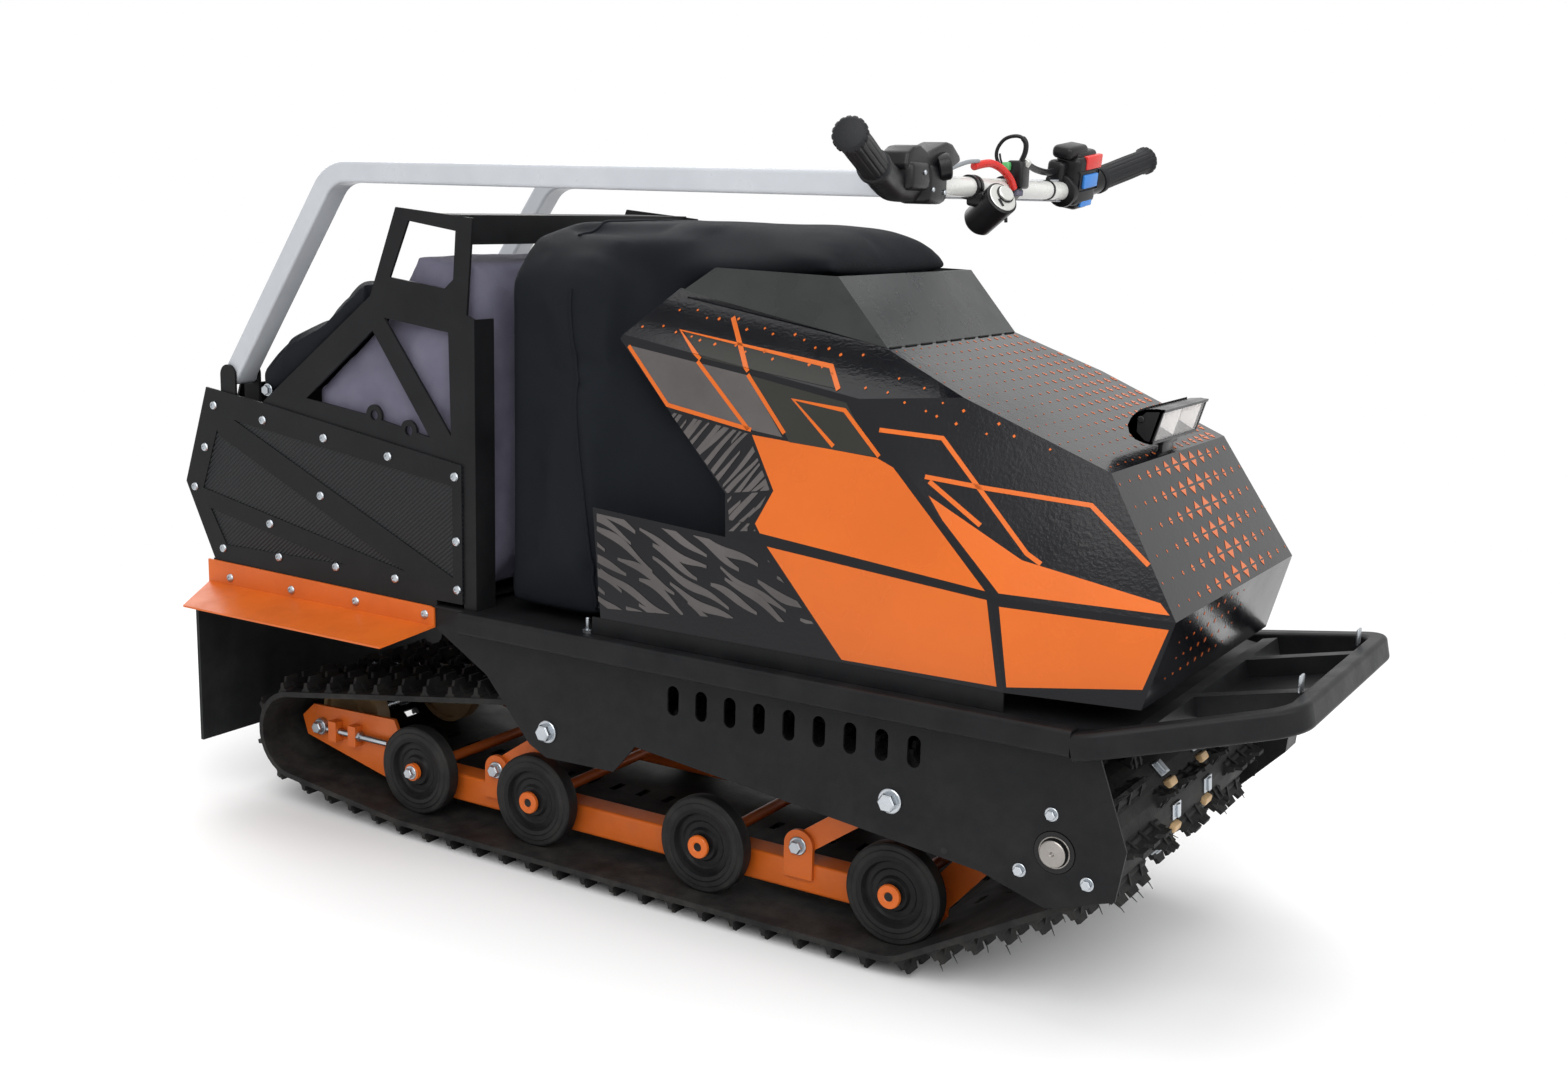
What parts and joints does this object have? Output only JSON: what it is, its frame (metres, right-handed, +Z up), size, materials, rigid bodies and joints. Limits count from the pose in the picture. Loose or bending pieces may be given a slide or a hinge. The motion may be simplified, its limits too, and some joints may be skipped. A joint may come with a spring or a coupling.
{
  "type": "tracked snow tug",
  "caption": "Small one-track snow tug with a faceted hood, a rear cargo box under fabric covers and a steering frame that folds forward over the machine.",
  "frame": {"origin": "on the ground, midway along the machine and on its centre plane", "axes": "+X forward, +Y left, +Z up"},
  "size_m": [1.752, 0.9046, 1.0443],
  "materials": {
    "track_rubber": "moulded rubber",
    "black_coat": "satin black powder coat",
    "satin_black": "satin graphite paint",
    "orange_paint": "orange powder coat",
    "grey_paint": "light grey satin paint",
    "hood_paint": "gloss black with orange panels",
    "engine_alloy": "cast",
    "lamp_body": "black finned casting",
    "lamp_glass": "clear lens",
    "cover_fabric": "black coated cloth",
    "liner_fabric": "grey lining cloth",
    "panel_fabric": "ribbed black lining",
    "sheet_rubber": "sheet rubber",
    "roller_rubber": "roller rubber",
    "grip_rubber": "ribbed rubber",
    "zinc_steel": "zinc plated",
    "tan_plastic": "tan polyamide",
    "bar_chrome": "white satin paint",
    "control_plastic": "moulded plastic"
  },
  "bodies": {
    "chassis": {"track": "track_rubber", "side_plate_right": "black_coat", "side_plate_left": "black_coat", "deck": "black_coat", "cross_members": "black_coat", "rear_frame": "black_coat", "tow_hitch": "black_coat", "bumper_rail": "black_coat", "bumper_braces": "black_coat", "engine_block": "engine_alloy", "hood_top": "hood_paint", "hood_skirt": "hood_paint", "deflector": "satin_black", "lamp_housing": "lamp_body", "lamp_lenses": "lamp_glass", "engine_cover": "cover_fabric", "cargo_liner": "liner_fabric", "cargo_cover": "cover_fabric", "box_side_right": "black_coat", "box_side_left": "black_coat", "box_rear_wall": "black_coat", "box_floor": "black_coat", "box_lining_right": "panel_fabric", "box_lining_left": "panel_fabric", "arch_frame_right": "black_coat", "arch_frame_left": "black_coat", "arch_top_bar": "black_coat", "fender_right": "orange_paint", "fender_left": "orange_paint", "mud_flap": "sheet_rubber", "rail_right": "orange_paint", "rail_left": "orange_paint", "suspension_arms": "orange_paint", "roller_tyres": "roller_rubber", "roller_hubs": "black_coat", "roller_axles": "orange_paint", "track_adjuster_right": "zinc_steel", "track_adjuster_left": "zinc_steel", "idler_wheels": "tan_plastic", "idler_axle": "zinc_steel", "drive_shaft": "zinc_steel", "drive_sprockets": "tan_plastic", "drive_bearings": "black_coat", "chain_case": "black_coat", "pivot_bracket_right": "black_coat", "pivot_bracket_left": "black_coat"},
    "steering_frame": {"steering_tube_right": "grey_paint", "steering_tube_left": "grey_paint", "handlebar": "bar_chrome", "grips": "grip_rubber", "throttle_control": "control_plastic", "switch_pod": "control_plastic", "tether_switch": "control_plastic", "ignition_switch": "control_plastic"}
  },
  "joints": [
    {"name": "steering_fold", "type": "hinge", "parent": "chassis", "child": "steering_frame", "pos_m": [-0.748, 0, 0.672], "axis": [0, -1, 0], "range_deg": [0, 145]}
  ]
}
